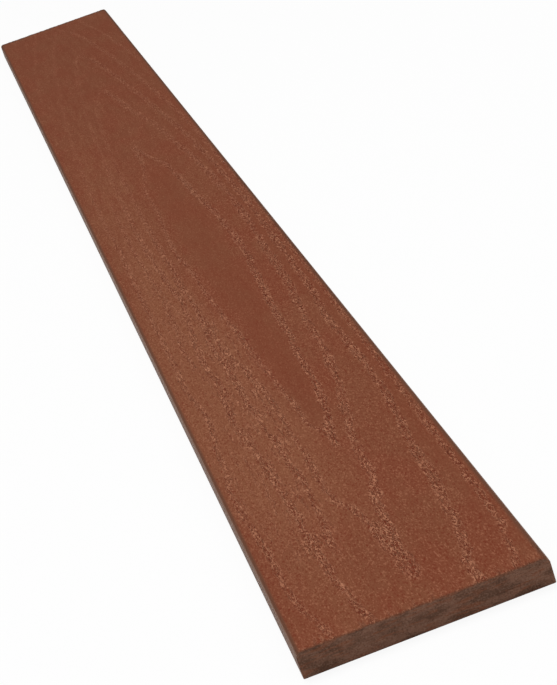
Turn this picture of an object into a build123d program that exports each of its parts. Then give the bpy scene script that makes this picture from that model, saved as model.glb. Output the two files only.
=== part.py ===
from build123d import *
import os

# Composite fence board, one piece, lying on its back with its show face up.
# Millimetres, +Z up, length along X. The origin is the middle of the back face.

INCH = 25.4

# Size of the stock
LENGTH = 72 * INCH
WIDTH = 5.5 * INCH
THICKNESS = 0.625 * INCH

# Rounding of the two long edges of the show face, and of the two of the back
SHOW_EDGE_RADIUS = 0.125 * INCH
BACK_EDGE_RADIUS = 0.03125 * INCH

# The section is drawn at one sawn end, standing on the back face, and runs the whole length.
# Both ends are cut square across, and their corners stay sharp.
with BuildPart() as board:
    with BuildSketch(Plane.YZ.offset(-LENGTH / 2)) as section:
        Rectangle(WIDTH, THICKNESS, align=(Align.CENTER, Align.MIN))
        fillet(section.vertices().group_by(Axis.Y)[-1], radius=SHOW_EDGE_RADIUS)
        fillet(section.vertices().group_by(Axis.Y)[0], radius=BACK_EDGE_RADIUS)
    extrude(amount=LENGTH)

board.part.label = "board"

os.makedirs("parts", exist_ok=True)
export_step(board.part, "parts/board.step")
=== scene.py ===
"""Composite fence board: the embossed, sawn board, its floor, lamps and camera.

Metres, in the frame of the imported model: +X runs to the near end, +Y to the right-hand long edge,
+Z out of the show face. Places on the show face are also given as a maker would mark them out, in
millimetres: distance from the near end, then distance across from the left-hand long edge.
"""
from __future__ import annotations

import logging
import math
from dataclasses import dataclass, field
from enum import Enum

import bpy
import numpy as np
from mathutils import Matrix, Vector
from mathutils.geometry import delaunay_2d_cdt

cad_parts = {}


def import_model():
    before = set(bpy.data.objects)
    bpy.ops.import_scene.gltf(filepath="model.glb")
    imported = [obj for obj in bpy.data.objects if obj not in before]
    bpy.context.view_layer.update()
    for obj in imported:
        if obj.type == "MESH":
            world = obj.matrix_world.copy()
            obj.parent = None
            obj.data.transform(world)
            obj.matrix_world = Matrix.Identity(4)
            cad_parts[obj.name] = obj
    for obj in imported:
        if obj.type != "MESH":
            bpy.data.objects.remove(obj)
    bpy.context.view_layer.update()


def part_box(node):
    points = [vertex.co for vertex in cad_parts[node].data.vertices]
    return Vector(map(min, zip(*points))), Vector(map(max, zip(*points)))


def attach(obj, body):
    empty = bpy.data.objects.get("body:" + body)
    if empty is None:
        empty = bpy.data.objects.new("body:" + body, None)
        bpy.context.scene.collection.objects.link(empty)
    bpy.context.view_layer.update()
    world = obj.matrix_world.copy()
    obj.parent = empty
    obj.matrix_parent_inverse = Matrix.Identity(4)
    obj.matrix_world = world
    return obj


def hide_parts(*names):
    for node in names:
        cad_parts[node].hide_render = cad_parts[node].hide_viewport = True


log = logging.getLogger("fence_board")

MM = 0.001
Colour = tuple[float, float, float, float]
Pair = tuple[float, float]
Triple = tuple[float, float, float]
Socket = bpy.types.NodeSocket
WHITE = (1.0, 1.0, 1.0, 1.0)


def paint(red: int, green: int, blue: int) -> Colour:
    """Turns a colour as seen on a screen, 0 to 255, into the linear colour that shaders take.

    Args:
        red: The red of the screen colour.
        green: Its green.
        blue: Its blue.

    Returns:
        Linear red, green and blue, and an alpha of 1.
    """
    def linear(level: int) -> float:
        """Undoes the screen's curve for one channel."""
        share = level / 255
        return share / 12.92 if share <= 0.04045 else ((share + 0.055) / 1.055) ** 2.4

    return (linear(red), linear(green), linear(blue), 1.0)


def ease(low: float, high: float, values: np.ndarray) -> np.ndarray:
    """Rises smoothly from 0 at low to 1 at high.

    Args:
        low: Where the rise starts; it may be above high, and the curve then falls.
        high: Where the rise ends.
        values: The places to read the curve at.

    Returns:
        The curve's height at each place, 0 to 1.
    """
    share = np.clip((values - low) / (high - low), 0.0, 1.0)
    return share * share * (3.0 - 2.0 * share)


def read(rows: bpy.types.bpy_prop_collection, name: str, width: int = 3) -> np.ndarray:
    """Copies one property from every row of a mesh's table.

    Args:
        rows: The mesh's points, faces or corners.
        name: The property: a place or direction, or a whole number.
        width: How many numbers it has in a row, 3 or 1.

    Returns:
        The numbers, by row.
    """
    found = np.empty(len(rows) * width, np.float32 if width > 1 else np.int32)
    rows.foreach_get(name, found)
    return found.reshape(-1, width).astype(float) if width > 1 else found


class Mark(Enum):
    """The numbers that the mesh carries at each point, for the finishes to read."""

    ROUGH = "rough"  # how rough the emboss is, 0 to 1
    WORM = "worm"  # -1 in a pit of the emboss to 1 on a ridge
    TONE = "tone"  # -1 where the composite is reddest to 1 where it is palest
    # The skin mark also places the painted shade on the arrises and the painted reflection on the long
    # edges and back.
    SKIN = "skin"  # 0 on the embossed face to 1 on the plain long edges and the back


class Wander:
    """Seeded gradient noise over a plane, for everything in the emboss that wanders."""

    PERIOD = 256
    REACH = 1.5  # brings the usual swing to about -1 to 1

    def __init__(self, seed: int) -> None:
        """Draws the noise's directions.

        Args:
            seed: Picks one noise out of many, the same on each run.
        """
        draw = np.random.default_rng(seed)
        turn = draw.uniform(0.0, 2.0 * math.pi, self.PERIOD)
        self.order = draw.permutation(self.PERIOD)
        self.lean_u, self.lean_v = np.cos(turn), np.sin(turn)

    def at(self, u: np.ndarray, v: np.ndarray | float) -> np.ndarray:
        """Reads the noise.

        Args:
            u: First coordinate, where 1 is the size of a feature.
            v: Second coordinate, likewise.

        Returns:
            The noise at each place, about -1 to 1.
        """
        v = np.broadcast_to(v, u.shape)
        cell_u, cell_v = np.floor(u).astype(int), np.floor(v).astype(int)
        in_u, in_v = u - cell_u, v - cell_v
        blend_u, blend_v = (t * t * t * (t * (t * 6 - 15) + 10) for t in (in_u, in_v))
        total = np.zeros(u.shape)
        for step_u in (0, 1):
            for step_v in (0, 1):
                row = self.order[(cell_u + step_u) % self.PERIOD]
                key = self.order[(row + cell_v + step_v) % self.PERIOD]
                slope = self.lean_u[key] * (in_u - step_u) + self.lean_v[key] * (in_v - step_v)
                share_u = blend_u if step_u else 1 - blend_u
                share_v = blend_v if step_v else 1 - blend_v
                total += slope * share_u * share_v
        return total * self.REACH


@dataclass(frozen=True)
class GrainLine:
    """One growth line of the emboss: a rough band that wanders along the board."""

    name: str
    spread: float  # half the band's usual width, mm
    vigour: float  # how strongly it is embossed, 0 to 1
    route: tuple[Pair, ...]  # (from the near end, across), mm

    FADE = 14.0  # mm over which a band dies out past its last point
    SOFT = 1.3  # mm over which its sides die out

    def across(self, along: np.ndarray) -> tuple[np.ndarray, np.ndarray]:
        """Follows the route as a smooth curve.

        Args:
            along: Distances from the near end, mm.

        Returns:
            How far across the line runs at each, mm, and its slope there.
        """
        x, y = np.array(self.route).T
        chord = np.diff(y) / np.diff(x)
        lean = np.concatenate([chord[:1], (chord[1:] + chord[:-1]) / 2, chord[-1:]])
        span = np.clip(np.searchsorted(x, along) - 1, 0, len(x) - 2)
        wide = x[span + 1] - x[span]
        t = np.clip((along - x[span]) / wide, 0.0, 1.0)
        start = y[span] * (1 + 2 * t) * (1 - t) ** 2 + lean[span] * wide * t * (1 - t) ** 2
        end = y[span + 1] * t * t * (3 - 2 * t) + lean[span + 1] * wide * t * t * (t - 1)
        return start + end, chord[span]

    def cover(self, along: np.ndarray, across: np.ndarray, sway: Wander) -> np.ndarray:
        """Says how strongly the band covers each place.

        Args:
            along: Distances from the near end, mm.
            across: Distances from the left-hand long edge, mm.
            sway: The noise that makes the band wander and swell.

        Returns:
            The band's cover, 0 to its vigour.
        """
        middle, slope = self.across(along)
        key = self.route[0][1] * 7.3
        middle = middle + 0.9 * sway.at(along / 17.0, key) + 0.5 * sway.at(along / 5.0, key)
        off = np.abs(across - middle) / np.hypot(1.0, slope)
        swell = 1.0 + 0.5 * sway.at(along / 23.0, key + 40) + 0.5 * sway.at(along / 6.0, across / 3.0)
        beside = ease(1.0, 0.0, (off - self.spread * swell) / self.SOFT)
        first, last = self.route[0][0], self.route[-1][0]
        ends = ease(first - self.FADE, first, along) * ease(last + self.FADE, last, along)
        whole = 0.62 + 0.38 * ease(-0.7, 0.1, sway.at(along / 13.0, key + 80))
        dashed = 0.6 + 0.4 * ease(-0.45, 0.2, sway.at(along / 9.0 + 20, across / 1.7 + key))
        return self.vigour * beside * ends * whole * dashed


@dataclass(frozen=True)
class RoughPatch:
    """A broad rough place in the emboss, where a growth line turns back or several crowd."""

    name: str
    along: float  # its middle, from the near end, mm
    across: float  # its middle, from the left-hand long edge, mm
    half_length: float
    half_width: float
    vigour: float
    streaky: float = 0.25  # how much of it is broken up into lengthwise streaks, 0 to 1

    def cover(self, along: np.ndarray, across: np.ndarray, sway: Wander) -> np.ndarray:
        """Says how strongly the patch covers each place.

        Args:
            along: Distances from the near end, mm.
            across: Distances from the left-hand long edge, mm.
            sway: The noise that breaks up the patch's rim.

        Returns:
            The patch's cover, 0 to its vigour.
        """
        off = np.hypot((along - self.along) / self.half_length, (across - self.across) / self.half_width)
        rim = off + 0.28 * sway.at(along / 9.0, across / 4.0)
        streaks = sway.at(along / 42.0 + 70, across / 2.6) + 0.35 * sway.at(along / 8.0, across / 1.3 + 40)
        return self.vigour * ease(1.15, 0.7, rim) * (1.0 - self.streaky * ease(0.4, -0.1, streaks))


# The growth lines as they lie on the board, from its heart outwards. A pair of limbs makes an arch.
GRAIN_LINES = (
    GrainLine("heart left limb", 1.3, 0.8, (
        (252, 79), (268, 75), (282, 70.5), (325, 70), (357, 68), (420, 65.5), (474, 64), (536, 61),
        (600, 58.8), (661, 57.8), (733, 54.5), (799, 56.3), (870, 60), (925, 59), (967, 63.5), (997, 68),
        (1044, 71.8), (1098, 73))),
    GrainLine("heart right limb", 1.9, 1.0, (
        (240, 78.7), (275, 82.5), (310, 86), (357, 90.5), (400, 90), (452, 93.7), (514, 95.3), (567, 98),
        (611, 100), (661, 103), (755, 103), (824, 100), (880, 96.3), (967, 92.3), (1015, 88), (1044, 82.3),
        (1073, 76), (1103, 73))),
    GrainLine("second left limb", 1.5, 0.8, (
        (84, 70), (120, 68.7), (140, 65.5), (155, 60.7), (180, 58.2), (235, 59), (280, 58), (325, 58.7),
        (380, 56), (427, 52.5), (460, 48.5), (540, 47), (640, 45), (760, 45), (900, 46), (1020, 48),
        (1115, 50), (1168, 53), (1250, 57), (1309, 61), (1362, 69), (1385, 74))),
    GrainLine("second right limb", 2.3, 0.92, (
        (66, 75), (107, 78), (155, 82.5), (175, 86), (225, 88.8), (245, 90), (270, 94.5), (305, 98),
        (332, 102.5), (357, 104), (392, 107.8), (427, 109.4), (483, 111), (514, 113), (567, 116),
        (661, 118), (755, 121), (850, 120.6), (909, 119), (967, 116.5), (1044, 112), (1144, 105),
        (1203, 99), (1262, 91), (1320, 87), (1380, 80))),
    GrainLine("third left limb", 1.7, 0.85, (
        (0, 43.5), (25, 40.5), (50, 38), (107, 36), (140, 35.7), (175, 34.5), (210, 35), (250, 33.7),
        (290, 32), (320, 30), (350, 31), (400, 32.5), (450, 31), (520, 33), (570, 37), (600, 39),
        (680, 36), (800, 34), (900, 36), (1050, 40), (1200, 45), (1350, 52), (1480, 61), (1590, 72))),
    GrainLine("third right limb", 2.2, 0.95, (
        (0, 102), (25, 103), (50, 107.5), (70, 110), (100, 112), (135, 115), (200, 117.5), (240, 120.5),
        (290, 123.7), (370, 125), (467, 124), (511, 126.5), (630, 128.7), (800, 130), (950, 128),
        (1100, 123), (1180, 118), (1262, 112), (1356, 106), (1485, 95), (1556, 88), (1600, 78))),
    GrainLine("fourth left limb", 1.4, 0.75, (
        (0, 21.5), (15, 19), (32, 16), (50, 13), (75, 11.5), (140, 10.5), (175, 8.8), (225, 7.5),
        (250, 10), (300, 12), (350, 15.5), (420, 11.5), (480, 12), (580, 12.5), (680, 13), (770, 14.5),
        (900, 14), (1100, 18), (1300, 26), (1500, 39), (1680, 55), (1780, 68))),
    GrainLine("fourth right limb", 1.7, 0.8, (
        (0, 122.5), (15, 125), (37, 128), (62, 130.5), (100, 132), (170, 132.5), (225, 133), (400, 134.5),
        (700, 136), (1000, 135), (1150, 132), (1300, 125), (1450, 116), (1600, 104), (1740, 88),
        (1790, 76))),
    GrainLine("inner streak of the left side", 1.4, 0.8, (
        (112, 45), (190, 48.7), (225, 48), (282, 45.7), (320, 45.5), (355, 43.7), (420, 44), (450, 42),
        (520, 43), (580, 46))),
    GrainLine("outer streak of the left side", 1.2, 0.65, (
        (455, 24), (500, 22.5), (536, 25), (590, 27), (650, 27.5), (690, 26), (800, 25), (930, 27))),
    GrainLine("corner streak", 1.0, 0.7, ((0, 135.5), (14, 138))),
    GrainLine("far left streak", 0.9, 0.6, ((1380, 12), (1500, 17), (1640, 28), (1828, 46))),
    GrainLine("far right streak", 1.0, 0.7, ((1470, 133), (1600, 125), (1720, 114), (1828, 99))),
)

ROUGH_PATCHES = (
    RoughPatch("near turn of the second arch", 50, 75, 21, 6.0, 0.8),
    RoughPatch("tail of the near turn", 92, 73.5, 30, 6.5, 0.62),
    RoughPatch("knuckle of the third arch", 115, 36, 16, 10, 0.6),
    RoughPatch("near turn of the heart", 258, 79, 20, 3.6, 0.6),
    RoughPatch("far turn of the heart", 1078, 74, 30, 4.4, 1.0),
    RoughPatch("crowded left side", 300, 41, 230, 19, 0.52, 0.92),
    RoughPatch("crowded middle", 440, 50, 150, 14, 0.52, 0.85),
    RoughPatch("far crowded side", 640, 32, 230, 20, 0.42, 0.9),
    RoughPatch("left shoulder", 210, 18, 150, 14, 0.34, 0.9),
)


@dataclass(frozen=True)
class ToneZone:
    """A broad place where the composite is paler, or redder and smoother, than elsewhere."""

    name: str
    along: float  # its middle, from the near end, mm
    across: float  # its middle, from the left-hand long edge, mm
    half_length: float
    half_width: float
    tone: float  # -1 for reddest to 1 for palest

    def share(self, along: np.ndarray, across: np.ndarray) -> np.ndarray:
        """Gives the zone's tone at each place, fading out to its rim."""
        off = np.hypot((along - self.along) / self.half_length, (across - self.across) / self.half_width)
        return self.tone * ease(1.25, 0.45, off)


TONE_ZONES = (
    ToneZone("pale left side", 400, 30, 360, 38, 0.85),
    ToneZone("pale near middle", 215, 66, 120, 20, 0.5),
    ToneZone("far pale left side", 900, 26, 330, 28, 0.45),
    ToneZone("near left corner", 40, 24, 60, 22, 0.15),
    ToneZone("red heart", 660, 80, 410, 18, -0.4),
    ToneZone("near tip of the red heart", 330, 79, 90, 9, -0.35),
    ToneZone("deep right side", 620, 131, 720, 12, -0.45),
    ToneZone("deep far end", 1640, 80, 420, 90, -0.2),
)


@dataclass
class Emboss:
    """The woodgrain that the show face is pressed with."""

    floor_depth: float = 0.29  # how far the smooth ground lies under the highest ridges, mm
    ridge_rise: float = 0.22  # how far ridges stand above the ground, mm
    pit_depth: float = 0.11  # how far pits go below it, mm
    ground_swell: float = 0.03  # slow waves of the smooth ground, mm
    faint_from: float = 560.0  # where the emboss starts to be pressed more lightly, mm
    faint_to: float = 1300.0
    faintness: float = 0.33  # how much lighter it is from there on, on the right-hand side
    left_faintness: float = 0.74  # and on the left-hand side
    far_streaks: float = 0.75  # how strongly the tone is streaked where the emboss is faint
    chip_depth: float = 0.9  # how deep the saw has chipped the arris at the ends, mm
    chip_reach: Pair = (0.6, 2.2)  # how far the chips reach in, and how much farther at most
    frayed: float = 2.8  # how far in from the ends the saw has roughened the face, mm
    fully_frayed: float = 0.8  # and how far in it is roughest
    worm: Pair = (7.0, 2.6)  # length and width of the winding ridges, mm
    thread: Pair = (3.2, 1.5)  # and of the finer ones between them
    crumb: Pair = (1.5, 1.1)  # size of the saw's crumbs, across and along, mm
    lines: tuple[GrainLine, ...] = GRAIN_LINES
    patches: tuple[RoughPatch, ...] = ROUGH_PATCHES
    zones: tuple[ToneZone, ...] = TONE_ZONES
    sway: Wander = field(default_factory=lambda: Wander(11))
    crackle: Wander = field(default_factory=lambda: Wander(23))

    def roughness(self, along: np.ndarray, across: np.ndarray) -> np.ndarray:
        """Joins the growth lines and patches.

        Args:
            along: Distances from the near end, mm.
            across: Distances from the left-hand long edge, mm.

        Returns:
            How rough the emboss is at each place, 0 to 1.
        """
        smooth = np.ones(along.shape)
        for piece in (*self.lines, *self.patches):
            smooth *= 1.0 - piece.cover(along, across, self.sway)
        lighter = self.faintness + (self.left_faintness - self.faintness) * ease(82.0, 58.0, across)
        return (1.0 - smooth) * (1.0 - lighter * ease(self.faint_from, self.faint_to, along))

    def tone(self, along: np.ndarray, across: np.ndarray) -> np.ndarray:
        """Adds up the tone zones.

        Args:
            along: Distances from the near end, mm.
            across: Distances from the left-hand long edge, mm.

        Returns:
            The tone at each place, -1 for reddest to 1 for palest.
        """
        ragged = across + 5.0 * self.sway.at(along / 60.0, across / 22.0 + 130)
        zones = sum(zone.share(along, ragged) for zone in self.zones)
        streaks = self.far_streaks * ease(self.faint_from, self.faint_to, along)
        return (zones + streaks * self.sway.at(along / 38.0 + 9, across / 3.8)).clip(-1.0, 1.0)

    def worms(self, along: np.ndarray, across: np.ndarray) -> np.ndarray:
        """Draws the short winding ridges and pits that fill the rough places.

        Args:
            along: Distances from the near end, mm.
            across: Distances from the left-hand long edge, mm.

        Returns:
            -1 in a pit to 1 on a ridge.
        """
        bend = 1.3 * self.sway.at(along / 5.0, across / 3.0 + 90)
        veer = 0.9 * self.sway.at(along / 4.0 + 50, across / 2.6)
        coarse = np.abs(self.crackle.at((along + bend) / self.worm[0], (across + veer) / self.worm[1]))
        fine = self.crackle.at((along - veer) / self.thread[0] + 31, (across + bend) / self.thread[1] + 17)
        return (ease(0.22, 0.0, coarse) - ease(0.2, 0.5, coarse) + 0.4 * fine).clip(-1.0, 1.0)

    def height(self, along: np.ndarray, across: np.ndarray) -> np.ndarray:
        """Shapes the relief.

        Args:
            along: Distances from the near end, mm.
            across: Distances from the left-hand long edge, mm.

        Returns:
            Heights from the highest ridge, mm, all 0 or less.
        """
        rough = self.roughness(along, across)
        worms = self.worms(along, across)
        relief = np.where(worms > 0, self.ridge_rise, self.pit_depth) * worms
        swell = self.ground_swell * self.sway.at(along / 70.0, across / 9.0)
        return np.minimum(swell - self.floor_depth + rough * relief, 0.0)

    def chips(self, from_end: np.ndarray, across: np.ndarray) -> np.ndarray:
        """Shapes what the saw has broken off the face's arris at an end.

        Args:
            from_end: Distances from the nearer end, mm.
            across: Distances from the left-hand long edge, mm.

        Returns:
            How far the face is broken away at each place, mm, all 0 or more.
        """
        ragged = 0.4 + 0.5 * self.sway.at(across / 2.6, 7.0) + 0.5 * self.sway.at(across / 9.0, 31.0)
        reach = self.chip_reach[0] + self.chip_reach[1] * ragged.clip(0.0, 1.0)
        return self.chip_depth * ragged.clip(0.12, 1.0) * ease(1.0, 0.0, from_end / reach)

    def fray(self, from_end: np.ndarray, across: np.ndarray) -> tuple[np.ndarray, np.ndarray]:
        """Roughens the face close to an end, as the saw has left it.

        Args:
            from_end: Distances from the nearer end, mm.
            across: Distances from the left-hand long edge, mm.

        Returns:
            The roughness there, 0 to 1, and -1 in a hole of it to 1 on a crumb.
        """
        patchy = 0.7 + 0.5 * self.sway.at(across / 4.0, 63.0)
        lumps = self.crackle.at(across / self.crumb[0], from_end / self.crumb[1] + 11)
        rough = patchy.clip(0.2, 1.0) * ease(self.frayed, self.fully_frayed, from_end)
        return rough, (1.6 * lumps).clip(-1.0, 1.0)


class NodeBench:
    """Wires up the nodes of one material or of the room's light."""

    def __init__(self, owner: bpy.types.Material | bpy.types.World) -> None:
        """Clears the bench.

        Args:
            owner: What the nodes belong to.
        """
        owner.use_nodes = True
        self.owner = owner
        self.tree = owner.node_tree
        self.tree.nodes.clear()

    def add(self, kind: str, inputs: dict | None = None, **settings: object) -> bpy.types.Node:
        """Adds a node, sets it up and feeds it.

        Args:
            kind: The node's type in Blender.
            inputs: What each input gets, by its name or number: a socket to link or a value.
            **settings: The node's own settings.

        Returns:
            The node.
        """
        node = self.tree.nodes.new(kind)
        for name, value in settings.items():
            setattr(node, name, value)
        for key, value in (inputs or {}).items():
            if isinstance(value, Socket):
                self.tree.links.new(value, node.inputs[key])
            else:
                node.inputs[key].default_value = value
        return node

    def sum(self, kind: str, first: Socket | float, second: Socket | float, clamp: bool = False) -> Socket:
        """Works out one sum of two numbers.

        Args:
            kind: ADD, MULTIPLY or another of the Math node's sums.
            first: The first number.
            second: The second.
            clamp: Whether the answer stays between 0 and 1.

        Returns:
            The answer's socket.
        """
        node = self.add("ShaderNodeMath", {0: first, 1: second}, operation=kind, use_clamp=clamp)
        return node.outputs[0]

    def remap(
        self, value: Socket, low: float, high: float, new_low: float = 0.0, new_high: float = 1.0
    ) -> Socket:
        """Moves a range of numbers to another range, smoothly and without going past it.

        Args:
            value: The number.
            low: Where its range starts.
            high: Where it ends.
            new_low: What low becomes.
            new_high: What high becomes.

        Returns:
            The moved number's socket.
        """
        inputs = {"Value": value, 1: low, 2: high, 3: new_low, 4: new_high}
        return self.add("ShaderNodeMapRange", inputs, interpolation_type="SMOOTHSTEP").outputs[0]

    def blend(self, share: Socket, first: Socket | Colour, second: Socket | Colour) -> Socket:
        """Mixes two colours.

        Args:
            share: How much of the second, 0 to 1.
            first: The first colour.
            second: The second colour.

        Returns:
            The mixed colour's socket.
        """
        node = self.add("ShaderNodeMix", data_type="RGBA", clamp_factor=True)
        for socket, value in ((node.inputs[0], share), (node.inputs[6], first), (node.inputs[7], second)):
            if isinstance(value, Socket):
                self.tree.links.new(value, socket)
            else:
                socket.default_value = value
        return node.outputs[2]

    def place(self, feature: Triple) -> Socket:
        """Gives places on the board, scaled so that a feature is 1 long.

        Args:
            feature: The feature's size along X, Y and Z, mm.

        Returns:
            The scaled place's socket.
        """
        spot = self.add("ShaderNodeTexCoord").outputs["Object"]
        scale = tuple(1.0 / (size * MM) for size in feature)
        return self.add("ShaderNodeMapping", {"Vector": spot, "Scale": scale}).outputs[0]

    def noise(self, feature: Triple, detail: float = 2.0, warp: float = 0.0) -> Socket:
        """Adds a noise pattern fixed to the board.

        Args:
            feature: The size of its features along X, Y and Z, mm.
            detail: How many finer layers it has.
            warp: How far it is distorted.

        Returns:
            The noise's socket, about 0.3 to 0.7.
        """
        inputs = {"Vector": self.place(feature), "Scale": 1.0, "Detail": detail, "Distortion": warp}
        return self.add("ShaderNodeTexNoise", inputs).outputs[0]

    def mark(self, mark: Mark) -> Socket:
        """Reads a number that the mesh carries at each point."""
        return self.add("ShaderNodeAttribute", attribute_name=mark.value).outputs["Fac"]

    def bump(self, height: Socket, depth: float, under: Socket | None = None) -> Socket:
        """Adds relief too fine for the mesh.

        Args:
            height: The relief, 0 to 1.
            depth: What a height of 1 stands for, mm.
            under: The normal of the relief below this one.

        Returns:
            The new normal's socket.
        """
        inputs = {"Height": height, "Distance": depth * MM, "Strength": 1.0}
        if under:
            inputs["Normal"] = under
        return self.add("ShaderNodeBump", inputs).outputs[0]

    def finish(self, colour: Socket, roughness: Socket, normal: Socket, gloss: float) -> bpy.types.Material:
        """Ends the material in one plain plastic shader.

        Args:
            colour: Its colour.
            roughness: Its roughness.
            normal: Its normal.
            gloss: Its specular level, the same all over.

        Returns:
            The finished material.
        """
        inputs = {"Base Color": colour, "Roughness": roughness, "Normal": normal}
        inputs["Specular IOR Level"] = gloss
        shader = self.add("ShaderNodeBsdfPrincipled", inputs)
        self.add("ShaderNodeOutputMaterial", {"Surface": shader.outputs[0]})
        return self.owner


@dataclass(frozen=True)
class PressedFinish:
    """The red-brown composite as it leaves the embossing rolls."""

    red: Colour = paint(121, 67, 46)
    olive: Colour = paint(121, 71, 49)
    pale: Colour = paint(128, 79, 55)
    deep: Colour = paint(117, 64, 43)
    # Painted highlight on the emboss's ridges and crests; the light flecks of the ground share this colour.
    ridge_highlight_and_fleck: Colour = paint(192, 132, 102)
    # Painted shade in the emboss's pits and grooves; the dark stains and dark flecks share this colour.
    pit: Colour = paint(101, 24, 9)
    # Painted shade on the rounded long arrises and along the ends' arrises; the faint lines on the long
    # edges share this colour.
    arris: Colour = paint(103, 66, 49)
    # The long edges' and back's own smoother brown, greyed and lightened by a painted reflection of the
    # pale floor.
    skin: Colour = paint(142, 114, 99)
    gloss: float = 0.05
    cloud: Triple = (70.0, 24.0, 24.0)  # the size of each pattern's features along X, Y and Z, mm
    stain: Triple = (45.0, 4.0, 4.0)
    line: Triple = (500.0, 1.4, 1.4)
    crust: Triple = (5.6, 1.6, 1.6)
    grit: Triple = (2.1, 0.95, 0.95)
    stained: float = 0.09  # how strongly each pattern colours the board, 0 to 1
    specked: float = 0.26
    dotted: float = 0.5
    # raised and crested set the painted highlight on ridges and crests.
    raised: float = 0.27
    # sunk and hollowed set the painted shade in pits and grooves.
    sunk: float = 0.24
    crested: float = 0.62
    hollowed: float = 0.6
    lined: float = 0.35
    grit_depth: float = 0.22  # the relief of what is too fine for the mesh, mm
    vein_depth: float = 0.2
    line_depth: float = 0.05

    def material(self) -> bpy.types.Material:
        """Wires the finish.

        Returns:
            The material of every pressed face.
        """
        bench = NodeBench(bpy.data.materials.new("pressed_composite"))
        rough, worm = bench.mark(Mark.ROUGH), bench.mark(Mark.WORM)
        tone, skin = bench.mark(Mark.TONE), bench.mark(Mark.SKIN)
        cloud = bench.noise(self.cloud, 3.0)
        crust = bench.noise(self.crust, 2.0, 0.6)
        grit = bench.noise(self.grit, 2.0, 0.4)
        stain = bench.noise(self.stain, 2.0, 0.3)
        lines = bench.noise(self.line, 2.0)

        # Rough places are a maze of thin ridges, each with a groove beside it: the crests get a painted
        # highlight and the grooves painted shade, on top of their bump.
        vein = bench.sum("ABSOLUTE", bench.sum("SUBTRACT", crust, 0.5), 0.0)
        crest = bench.sum("MULTIPLY", rough, bench.remap(vein, 0.06, 0.02))
        groove = bench.sum("MULTIPLY", bench.remap(vein, 0.05, 0.075), bench.remap(vein, 0.14, 0.09))
        hollow = bench.sum("MULTIPLY", rough, groove)
        calm = bench.remap(tone, -0.35, -0.05, 0.55, 1.0)
        bare = bench.sum("MULTIPLY", calm, bench.remap(skin, 0.3, 0.8, 1.0, 0.3))
        speck = bench.sum("MULTIPLY", bare, bench.remap(grit, 0.55, 0.68))
        dot = bench.sum("MULTIPLY", bare, bench.remap(grit, 0.45, 0.32))

        colour = bench.blend(bench.remap(cloud, 0.38, 0.62), self.red, self.olive)
        colour = bench.blend(bench.remap(tone, 0.0, 1.0), colour, self.pale)
        colour = bench.blend(bench.remap(tone, 0.0, -1.0), colour, self.deep)
        colour = bench.blend(bench.remap(stain, 0.6, 0.38, 0.0, self.stained), colour, self.pit)
        colour = bench.blend(bench.sum("MULTIPLY", speck, self.specked), colour, self.ridge_highlight_and_fleck)
        colour = bench.blend(bench.sum("MULTIPLY", dot, self.dotted), colour, self.pit)
        # Painted highlight on the raised winding ridges.
        raised = bench.sum("MULTIPLY", rough, bench.remap(worm, -0.1, 0.8, 0.0, self.raised))
        colour = bench.blend(raised, colour, self.ridge_highlight_and_fleck)
        # Painted shade in the sunken pits between them.
        sunk = bench.sum("MULTIPLY", rough, bench.remap(worm, -0.3, -0.9, 0.0, self.sunk))
        colour = bench.blend(sunk, colour, self.pit)
        # Painted highlight along the thin crests.
        colour = bench.blend(bench.sum("MULTIPLY", crest, self.crested), colour, self.ridge_highlight_and_fleck)
        # Painted shade in the grooves beside them.
        colour = bench.blend(bench.sum("MULTIPLY", hollow, self.hollowed), colour, self.pit)
        # Painted shade on the rounded arris where the face turns down, and along the ends' arrises.
        colour = bench.blend(bench.remap(skin, 0.16, 0.58), colour, self.arris)
        # The long edges and back: their brown with a painted reflection of the pale floor, crossed by faint
        # darker lines.
        drawn = bench.blend(bench.remap(lines, 0.35, 0.65, 0.0, self.lined), self.skin, self.arris)
        colour = bench.blend(bench.remap(skin, 0.7, 0.97), colour, drawn)

        roughness = bench.remap(skin, 0.4, 1.0, 0.85, 0.55)
        normal = bench.bump(grit, self.grit_depth)
        relief = bench.sum("SUBTRACT", crest, hollow)
        normal = bench.bump(relief, self.vein_depth, normal)
        normal = bench.bump(bench.sum("MULTIPLY", lines, skin), self.line_depth, normal)
        return bench.finish(colour, roughness, normal, self.gloss)


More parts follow.
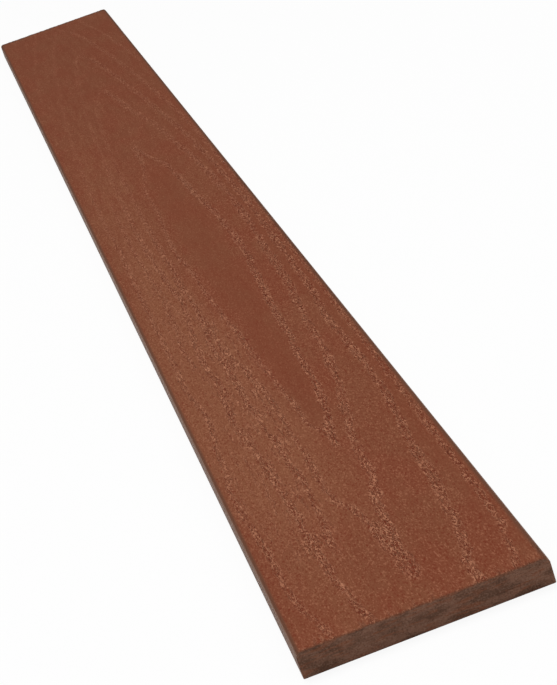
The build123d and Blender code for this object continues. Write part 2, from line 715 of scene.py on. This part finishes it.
@dataclass(frozen=True)
class SawnFinish:
    """The composite where the saw has cut it: duller, greyer and scratched."""

    body: Colour = paint(121, 86, 69)
    dark: Colour = paint(93, 64, 49)
    rust: Colour = paint(122, 74, 52)
    fleck: Colour = paint(142, 112, 96)
    pit: Colour = paint(60, 42, 34)
    gloss: float = 0.15
    cloud: Triple = (12.0, 15.0, 6.0)  # the size of each pattern's features along X, Y and Z, mm
    streak: Triple = (20.0, 16.0, 1.7)
    scratch: Triple = (20.0, 7.0, 0.6)
    grain: Triple = (1.1, 1.1, 0.9)
    rusted: float = 0.75  # how strongly each pattern colours the end, 0 to 1
    scratched: Pair = (0.22, 0.18)  # pale, then dark
    grained: Pair = (0.3, 0.42)
    scratch_depth: float = 0.08  # mm
    grain_depth: float = 0.15

    def material(self) -> bpy.types.Material:
        """Wires the finish.

        Returns:
            The material of the two ends.
        """
        bench = NodeBench(bpy.data.materials.new("sawn_composite"))
        cloud = bench.noise(self.cloud, 3.0, 0.5)
        streak = bench.noise(self.streak, 2.0, 0.5)
        scratch = bench.noise(self.scratch, 2.0, 0.4)
        grain = bench.noise(self.grain, 2.0)
        colour = bench.blend(bench.remap(cloud, 0.38, 0.62), self.dark, self.body)
        colour = bench.blend(bench.remap(streak, 0.52, 0.66, 0.0, self.rusted), colour, self.rust)
        colour = bench.blend(bench.remap(scratch, 0.52, 0.7, 0.0, self.scratched[0]), colour, self.fleck)
        colour = bench.blend(bench.remap(scratch, 0.46, 0.3, 0.0, self.scratched[1]), colour, self.pit)
        colour = bench.blend(bench.remap(grain, 0.53, 0.68, 0.0, self.grained[0]), colour, self.fleck)
        colour = bench.blend(bench.remap(grain, 0.46, 0.32, 0.0, self.grained[1]), colour, self.pit)
        normal = bench.bump(scratch, self.scratch_depth)
        normal = bench.bump(grain, self.grain_depth, normal)
        return bench.finish(colour, bench.remap(cloud, 0.3, 0.7, 0.8, 0.9), normal, self.gloss)


@dataclass(frozen=True)
class Sheet:
    """One rectangle of the map that the board's colours can be stored on."""

    corner: Pair  # its lower left-hand corner on the map, which is 1 wide and 1 high
    size: Pair
    start: Pair  # the place on the surface that its corner stands for, mm
    reach: Pair  # how much of the surface it holds, mm

    def lay(self, first: np.ndarray, second: np.ndarray) -> np.ndarray:
        """Finds places of the surface on the map.

        Args:
            first: Places along the sheet, mm.
            second: Places up the sheet, mm.

        Returns:
            Their places on the map, in pairs.
        """
        share = (np.stack([first, second], 1) - self.start) / self.reach
        return self.corner + share.clip(0.0, 1.0) * self.size


@dataclass
class FenceBoard:
    """The board: its section, its embossed show face and its two sawn ends."""

    length: float
    width: float
    thickness: float
    show_radius: float = 25.4 / 8 * MM
    back_radius: float = 25.4 / 32 * MM
    station: float = 1.1 * MM  # spacing of the mesh along the board before it is thinned
    column: float = 0.55 * MM  # spacing across the show face
    triangles: int = 196_000  # what the mesh is thinned to
    emboss: Emboss = field(default_factory=Emboss)
    tooling: Wander = field(default_factory=lambda: Wander(37))

    ROUND_STEPS = 6
    EDGE_STEPS = 4
    BACK_STEPS = 14
    EDGE_LINES = 0.03 * MM  # depth of the faint lines along the long edges and the back
    EDGE_LINE = (400.0, 1.4)  # their length and width, mm
    SAW_MARKS = 0.12 * MM  # depth of the saw's marks in the ends
    SAW_MARK = (11.0, 1.6)  # their length and height, mm
    SAW_PITCH = 1.1 * MM  # spacing of the mesh in the ends
    SAW_WOBBLE = 0.3  # how far its points stray, as a share of that
    UPRIGHT = 0.9  # how nearly the section faces up where the emboss has its whole depth
    EDGE_SHARE = 0.3  # share of the round arris that lies on the long edges' sheets
    ARRIS_STATIONS = (0.0, 0.3 * MM, 0.7 * MM)  # closer spacing where the ends are chipped
    # The long edges' look includes the painted shade on the rounded arris.
    LEFT_REACH = 7.2 * MM  # how far the left long edge's look reaches over the arris on to the face
    RIGHT_REACH = 8.6 * MM  # and the right one's
    FAR_REACH = 10.0 * MM  # how far the painted shade along the far end's arris reaches on to the face
    # How strongly painted shade darkens the face at the far end's arris.
    FAR_ARRIS_SHADE = 0.56
    NEAR_REACH = 3.4 * MM  # how far the painted shade along the near end's arris reaches
    # How strongly painted shade darkens the face at the near end's arris.
    NEAR_ARRIS_SHADE = 0.46
    END_FACING = 0.7  # how squarely a face looks along the board where it belongs to an end
    CREASE = 60.0  # degrees from which an edge is shaded sharp
    MAP_NAME = "OFBake"
    STRIPS = 3  # lengths that the show face is cut into on the map

    def outline(self) -> tuple[np.ndarray, np.ndarray]:
        """Goes once round the section, anticlockwise as seen from the near end.

        Returns:
            The outline's points (y, z) and the outward direction at each.
        """
        half, top = self.width / 2, self.thickness
        wide, low = self.show_radius, self.back_radius
        runs = []

        def arc(y: float, z: float, radius: float, start: float) -> None:
            """Adds a quarter turn round (y, z), starting at an angle in degrees."""
            turn = np.radians(np.linspace(start, start + 90, self.ROUND_STEPS + 1))
            normal = np.stack([np.cos(turn), np.sin(turn)], 1)
            runs.append((np.array([y, z]) + radius * normal, normal))

        def straight(first: Pair, last: Pair, steps: int) -> None:
            """Adds the inner points of a straight run between two arcs."""
            share = np.linspace(0, 1, steps + 1)[1:-1, None]
            first, last = np.array(first), np.array(last)
            away = np.array([last[1] - first[1], first[0] - last[0]])
            normal = np.broadcast_to(away / np.linalg.norm(away), (len(share), 2))
            runs.append((first + (last - first) * share, normal))

        columns = round((self.width - 2 * wide) / self.column)
        arc(half - wide, top - wide, wide, 0)
        straight((half - wide, top), (wide - half, top), columns)
        arc(wide - half, top - wide, wide, 90)
        straight((-half, top - wide), (-half, low), self.EDGE_STEPS)
        arc(low - half, low, low, 180)
        straight((low - half, 0), (half - low, 0), self.BACK_STEPS)
        arc(half - low, low, low, 270)
        straight((half, low), (half, top - wide), self.EDGE_STEPS)
        return np.concatenate([r[0] for r in runs]), np.concatenate([r[1] for r in runs])

    def skin(self) -> np.ndarray:
        """Runs the section along the board and presses the emboss into it.

        Returns:
            The points, by station and then round the outline.
        """
        flat, normal = self.outline()
        near = np.array(self.ARRIS_STATIONS)
        even = np.linspace(self.station, self.length - self.station, round(self.length / self.station) - 1)
        x = self.length / 2 - np.concatenate([near, even, self.length - near[::-1]])[:, None]
        along = (self.length / 2 - x) / MM
        across = (flat[:, 0] + self.width / 2) / MM
        along, across = np.broadcast_arrays(along, across[None])
        up = ease(0.0, self.UPRIGHT, normal[:, 1])
        from_end = np.minimum(along, self.length / MM - along)
        height = self.emboss.height(along, across) - self.emboss.chips(from_end, across)
        pressed = height * MM * up
        round_places = np.cumsum(np.linalg.norm(np.diff(flat, axis=0, prepend=flat[:1]), axis=1)) / MM
        run, rise = self.EDGE_LINE
        lines = self.tooling.at(along / run, np.broadcast_to(round_places, along.shape) / rise)
        drawn = -self.EDGE_LINES * (0.5 + 0.5 * lines) * (1 - up)
        off = pressed + np.minimum(drawn, 0.0)
        points = np.empty((*along.shape, 3))
        points[..., 0] = x
        points[..., 1:] = flat + normal * off[..., None]
        return points

    def cap(self, rim: np.ndarray, outward: float) -> tuple[np.ndarray, np.ndarray]:
        """Fills one sawn end inside its rim and marks it with the saw.

        Args:
            rim: The end's points, round the outline.
            outward: 1 at the near end and -1 at the far one.

        Returns:
            The new inner points, and triangles that count the rim's points first.
        """
        inset = self.SAW_PITCH
        across = np.arange(inset - self.width / 2, self.width / 2 - inset / 2, self.SAW_PITCH)
        upward = np.arange(inset, self.thickness - inset, self.SAW_PITCH)
        y, z = (part.ravel() for part in np.meshgrid(across, upward))
        wobble = self.SAW_WOBBLE * self.SAW_PITCH
        y = y + wobble * self.tooling.at(y / self.SAW_PITCH * 0.7, z / self.SAW_PITCH * 0.7)
        run, rise = self.SAW_MARK
        deep = 0.5 + 0.5 * self.tooling.at(y / MM / run + 60 * outward, z / MM / rise)
        inner = np.stack([np.full(len(y), rim[0, 0]) - outward * self.SAW_MARKS * deep.clip(0, 1), y, z], 1)
        flat = [Vector(p) for p in np.concatenate([rim[:, 1:], inner[:, 1:]])]
        loop = [(i, (i + 1) % len(rim)) for i in range(len(rim))]
        made = delaunay_2d_cdt(flat, loop, [], 1, 1e-7)
        source = [spots[0] for spots in made[3]]
        faces = np.array([[source[i] for i in face] for face in made[2]])
        kept = np.unique(faces[faces >= len(rim)])
        number = np.arange(len(rim) + len(inner))
        number[kept] = len(rim) + np.arange(len(kept))
        faces = number[faces]
        return inner[kept - len(rim)], faces if outward > 0 else faces[:, ::-1]

    def build(self) -> bpy.types.Object:
        """Makes the board's mesh.

        Returns:
            The board, riding on the frame in its own place.
        """
        points = self.skin()
        stations, round_count = points.shape[:2]
        row = np.arange(round_count)
        ahead = np.roll(row, -1)
        first = np.arange(stations - 1)[:, None] * round_count
        second = first + round_count
        quads = np.stack([second + row, second + ahead, first + ahead, first + row], -1)
        vertices, faces = [points.reshape(-1, 3)], quads.reshape(-1, 4).tolist()
        for station, outward in ((0, 1.0), (stations - 1, -1.0)):
            inner, triangles = self.cap(points[station], outward)
            start = sum(len(part) for part in vertices)
            index = np.concatenate([row + station * round_count, np.arange(len(inner)) + start])
            vertices.append(inner)
            faces += index[triangles].tolist()
        mesh = bpy.data.meshes.new("board_dense")
        mesh.from_pydata(np.concatenate(vertices).tolist(), [], faces)
        dense = bpy.data.objects.new("board_dense", mesh)
        bpy.context.scene.collection.objects.link(dense)
        board = bpy.data.objects.new("fence_board", self.thin(dense, mesh))
        bpy.context.scene.collection.objects.link(board)
        bpy.data.objects.remove(dense)
        return board

    def thin(self, dense: bpy.types.Object, mesh: bpy.types.Mesh) -> bpy.types.Mesh:
        """Takes triangles out where the surface is flat.

        Args:
            dense: The object that wears the dense mesh.
            mesh: The dense mesh.

        Returns:
            The thinned mesh.
        """
        mesh.calc_loop_triangles()
        share = self.triangles / len(mesh.loop_triangles)
        dense.modifiers.new("thin", "DECIMATE").ratio = min(share, 1.0)
        shown = dense.evaluated_get(bpy.context.evaluated_depsgraph_get())
        thinned = bpy.data.meshes.new_from_object(shown)
        thinned.name = "fence_board"
        most = np.array([self.length / 2, self.width / 2, self.thickness], np.float32)
        held = read(thinned.vertices, "co").clip(most * (-1, -1, 0), most)
        thinned.vertices.foreach_set("co", held.astype(np.float32).ravel())
        return thinned

    def tape(self, y: np.ndarray, z: np.ndarray) -> np.ndarray:
        """Measures round the section from the middle of the show face, as a tape laid on it would.

        Args:
            y: Places across, from the middle, m.
            z: Heights over the back, m.

        Returns:
            The distance round to each place, m, the same on the left and the right.
        """
        out, shoulder = np.abs(y), self.thickness - self.show_radius
        flat, heel = self.width / 2 - self.show_radius, self.width / 2 - self.back_radius
        edge = flat + self.show_radius * math.pi / 2
        under = edge + shoulder - self.back_radius
        over = self.show_radius * np.arctan2(out - flat, z - shoulder)
        curl = self.back_radius * np.arctan2(self.back_radius - z, out - heel)
        back = under + self.back_radius * math.pi / 2 + heel - out
        places = [z > shoulder, out < heel, z > self.back_radius]
        reached = [np.where(out < flat, out, flat + over), back, edge + shoulder - z]
        return np.select(places, reached, under + curl)

    def sheets(self, arris: float) -> tuple[list[Sheet], ...]:
        """Plans the map from the bottom up, with a little room left round each face.

        Args:
            arris: Where the long edges' sheets begin, measured round the section, mm.

        Returns:
            The sheets of the show face's strips, of the back, of the two long edges and of the two ends.
        """
        full, wide = self.length / MM, self.width / MM
        strip, sides = full / self.STRIPS, (0, 1)
        along, across = (full + 4, -wide / 2 - 1), wide + 2
        return (
            [Sheet((0.004, 0.004 + 0.256 * n), (0.992, 0.25), (n * strip - 8, -73), (strip + 16, 146))
             for n in range(self.STRIPS)],
            [Sheet((0.004, 0.772), (0.992, 0.1), (-2, along[1]), (along[0], across))],
            [Sheet((0.004, 0.878 + 0.033 * n), (0.992, 0.027), (-2, arris - 3), (along[0], 21))
             for n in sides],
            [Sheet((0.004 + 0.5 * n, 0.944), (0.49, 0.044), (along[1], -1), (across, 18)) for n in sides],
        )

    def lay_map(self, mesh: bpy.types.Mesh, sawn: np.ndarray) -> None:
        """Lays the surface out flat on a map, the show face in strips and the other faces beside it.

        Args:
            mesh: The finished mesh.
            sawn: Which of its faces belong to the sawn ends.
        """
        vertex, count = read(mesh.loops, "vertex_index", 1), read(mesh.polygons, "loop_total", 1)
        x, y, z = read(mesh.vertices, "co")[vertex].T
        mid_x, mid_y, mid_z = np.repeat(read(mesh.polygons, "center"), count, axis=0).T
        sawn = np.repeat(sawn, count)
        along, mid_along = (self.length / 2 - x) / MM, (self.length / 2 - mid_x) / MM
        round_to, mid_round = self.tape(y, z) / MM, self.tape(mid_y, mid_z) / MM
        out = np.array([self.width / 2 - self.EDGE_SHARE * self.show_radius, self.width / 2])
        arris, heel = self.tape(out, np.array([self.thickness, 0.0])) / MM
        show, back = ~sawn & (mid_round < arris), ~sawn & (mid_round > heel)
        edge = ~sawn & ~show & ~back
        strips, backs, edges, ends = self.sheets(arris)
        fold = (mid_along / (self.length / MM / self.STRIPS)).astype(int).clip(0, self.STRIPS - 1)
        jobs = [(back, backs[0], along, y / MM)]
        for number, sheet in enumerate(strips):
            jobs.append((show & (fold == number), sheet, along, np.copysign(round_to, y)))
        for side, by_edge, by_end in zip((1.0, -1.0), edges, ends):
            jobs.append((edge & (mid_y * side > 0), by_edge, along, round_to))
            jobs.append((sawn & (mid_x * side > 0), by_end, y / MM, z / MM))
        places = np.zeros((len(vertex), 2))
        for chosen, sheet, first, second in jobs:
            places[chosen] = sheet.lay(first[chosen], second[chosen])
        layer = mesh.uv_layers.new(name=self.MAP_NAME)
        layer.uv.foreach_set("vector", places.astype(np.float32).ravel())

    def dress(self, board: bpy.types.Object, pressed: bpy.types.Material, sawn: bpy.types.Material) -> None:
        """Gives the board its finishes and the marks that they read.

        Args:
            board: The board.
            pressed: The finish of the faces and long edges.
            sawn: The finish of the ends.
        """
        mesh = board.data
        x, y, z = read(mesh.vertices, "co").T
        along, across = (self.length / 2 - x) / MM, (y + self.width / 2) / MM
        shoulder = self.thickness - self.show_radius
        edge = self.tape(np.array([self.width / 2]), np.array([shoulder]))
        from_edge = edge - self.tape(y, z)
        reach = np.where(y < 0.0, self.LEFT_REACH, self.RIGHT_REACH)
        from_end = np.minimum(along, self.length / MM - along)
        fray, crumbs = self.emboss.fray(from_end, across)
        rough = np.maximum(self.emboss.roughness(along, across), fray)
        worms = np.where(from_end < self.emboss.frayed, crumbs, self.emboss.worms(along, across))
        # Painted shade along the arrises of both sawn ends, carried on the skin mark so that the arris
        # colour darkens the face there.
        end_arris_shade = self.FAR_ARRIS_SHADE * ease(self.FAR_REACH, 0.0, self.length - along * MM)
        end_arris_shade = np.maximum(end_arris_shade, self.NEAR_ARRIS_SHADE * ease(self.NEAR_REACH, 0.0, along * MM))
        marks = {
            Mark.ROUGH: rough * ease(shoulder, self.thickness - 0.6 * MM, z),
            Mark.WORM: worms,
            Mark.TONE: self.emboss.tone(along, across),
            Mark.SKIN: np.maximum(ease(1.0, 0.0, from_edge / reach), end_arris_shade),
        }
        for mark, values in marks.items():
            layer = mesh.attributes.new(mark.value, "FLOAT", "POINT")
            layer.data.foreach_set("value", values.astype(np.float32))
        mesh.materials.clear()
        mesh.materials.append(pressed)
        mesh.materials.append(sawn)
        at_end = np.abs(read(mesh.polygons, "center")[:, 0]) > self.length / 2 - 2 * self.SAW_MARKS
        ends = at_end & (np.abs(read(mesh.polygons, "normal")[:, 0]) > self.END_FACING)
        mesh.polygons.foreach_set("material_index", ends.astype(np.int32))
        self.lay_map(mesh, ends)
        mesh.shade_smooth()
        mesh.set_sharp_from_angle(angle=math.radians(self.CREASE))


@dataclass
class Lamp:
    """A flat soft lamp."""

    name: str
    place: Triple
    aim: Triple
    size: Pair
    power: float

    def build(self) -> None:
        """Hangs the lamp."""
        data = bpy.data.lights.new(self.name, "AREA")
        data.shape = "RECTANGLE"
        data.size, data.size_y = self.size
        data.energy = self.power
        hang(data, self.place, self.aim)


@dataclass
class Daylight:
    """Even light from one side of the sky, softened as by a large window."""

    name: str
    place: Triple  # only its direction from the board counts
    strength: float
    softness: float  # how wide its source looks, degrees

    def build(self) -> None:
        """Lets the light in."""
        data = bpy.data.lights.new(self.name, "SUN")
        data.energy = self.strength
        data.angle = math.radians(self.softness)
        hang(data, self.place, (0.0, 0.0, 0.0))


def hang(data: bpy.types.Light, place: Triple, aim: Triple) -> None:
    """Puts a light in its place and points it.

    Args:
        data: The light's settings.
        place: Where it hangs.
        aim: What it points at.
    """
    light = bpy.data.objects.new(data.name, data)
    light.location = place
    light.rotation_mode = "QUATERNION"
    light.rotation_quaternion = (Vector(aim) - Vector(place)).to_track_quat("-Z", "Y")
    bpy.context.scene.collection.objects.link(light)


@dataclass
class Camera:
    """The camera at the photograph's viewing angle."""

    place: Triple = (1.9567, -0.1249, 0.5534)
    aim: Triple = (0.4711, 0.0142, 0.0159)
    roll: float = -18.5  # degrees, right-hand side down
    focus: float = 2290.7  # focal length in the photograph's pixels
    frame_height: float = 685.0  # the photograph's long side in pixels

    SENSOR = 36.0

    def build(self) -> None:
        """Sets up the camera and makes it the scene's."""
        data = bpy.data.cameras.new("camera")
        data.sensor_width = self.SENSOR
        data.lens = self.focus / self.frame_height * self.SENSOR
        data.clip_start, data.clip_end = 0.05, 50.0
        camera = bpy.data.objects.new("camera", data)
        look = (Vector(self.aim) - Vector(self.place)).to_track_quat("-Z", "Y").to_matrix().to_4x4()
        roll = Matrix.Rotation(math.radians(self.roll), 4, "Z")
        camera.matrix_world = Matrix.Translation(self.place) @ look @ roll
        bpy.context.scene.collection.objects.link(camera)
        bpy.context.scene.camera = camera


@dataclass
class Studio:
    """The pale floor, the soft lamps and the even light of the room."""

    floor_half: float = 12.0
    floor_drop: float = 0.05 * MM
    floor_paint: Colour = (0.86, 0.86, 0.86, 1.0)
    floor_glow: float = 0.9  # how much of the floor that the camera sees is plain white
    horizon_light: float = 0.1  # the room's light at eye level
    ceiling_light: float = 0.55  # the room's light overhead
    lights: tuple[Lamp | Daylight, ...] = (
        Daylight("far_window", (-3.0, -0.6, 6.6), 1.42, 25.0),
        Lamp("top", (0.5, -0.25, 2.5), (0.45, 0.0, 0.0), (1.2, 0.9), 12.5),
        Lamp("near_fill", (3.6, 0.7, 1.3), (0.9, 0.0, 0.0), (1.4, 1.4), 14.0),
    )

    def floor(self) -> None:
        """Lays the floor."""
        far, low = self.floor_half, -self.floor_drop
        mesh = bpy.data.meshes.new("floor")
        corners = [(-far, -far, low), (far, -far, low), (far, far, low), (-far, far, low)]
        mesh.from_pydata(corners, [], [(0, 1, 2, 3)])
        bench = NodeBench(bpy.data.materials.new("floor_paint"))
        matte = bench.add("ShaderNodeBsdfDiffuse", {"Color": self.floor_paint})
        glow = bench.add("ShaderNodeEmission", {"Color": WHITE, "Strength": 1.0})
        seen = bench.add("ShaderNodeLightPath").outputs["Is Camera Ray"]
        share = bench.sum("MULTIPLY", seen, self.floor_glow)
        both = bench.add("ShaderNodeMixShader", {0: share, 1: matte.outputs[0], 2: glow.outputs[0]})
        bench.add("ShaderNodeOutputMaterial", {"Surface": both.outputs[0]})
        mesh.materials.append(bench.owner)
        floor = bpy.data.objects.new("floor", mesh)
        bpy.context.scene.collection.objects.link(floor)

    def room(self) -> None:
        """Fills the room with even light, and shows it white to the camera."""
        bench = NodeBench(bpy.data.worlds.new("room"))
        spot = bench.add("ShaderNodeTexCoord").outputs["Generated"]
        upward = bench.add("ShaderNodeSeparateXYZ", {0: spot}).outputs["Z"]
        levels = {"Value": upward, "To Min": self.horizon_light, "To Max": self.ceiling_light}
        rise = bench.add("ShaderNodeMapRange", levels).outputs[0]
        even = bench.add("ShaderNodeBackground", {"Color": WHITE, "Strength": rise}).outputs[0]
        white = bench.add("ShaderNodeBackground", {"Color": WHITE}).outputs[0]
        seen = bench.add("ShaderNodeLightPath").outputs["Is Camera Ray"]
        both = bench.add("ShaderNodeMixShader", {0: seen, 1: even, 2: white}).outputs[0]
        bench.add("ShaderNodeOutputWorld", {0: both})
        bpy.context.scene.world = bench.owner

    def build(self) -> None:
        """Builds the floor, the room's light and the lights."""
        self.floor()
        self.room()
        for light in self.lights:
            light.build()
            log.info("light %s", light.name)


def report(piece: bpy.types.Object) -> None:
    """Logs what a finished piece holds."""
    piece.data.calc_loop_triangles()
    log.info("piece %s: %d triangles", piece.name, len(piece.data.loop_triangles))


def main() -> None:
    """Builds the board in its frame, then the studio and the camera round it."""
    logging.basicConfig(level=logging.INFO, format="%(name)s: %(message)s")
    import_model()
    low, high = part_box("board")
    length, width, thickness = high - low
    stock = FenceBoard(length, width, thickness)
    board = stock.build()
    stock.dress(board, PressedFinish().material(), SawnFinish().material())
    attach(board, "root")
    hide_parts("board")
    report(board)
    Studio().build()
    Camera().build()
    bpy.context.scene.view_settings.view_transform = "Standard"


if __name__ == "__main__":
    main()
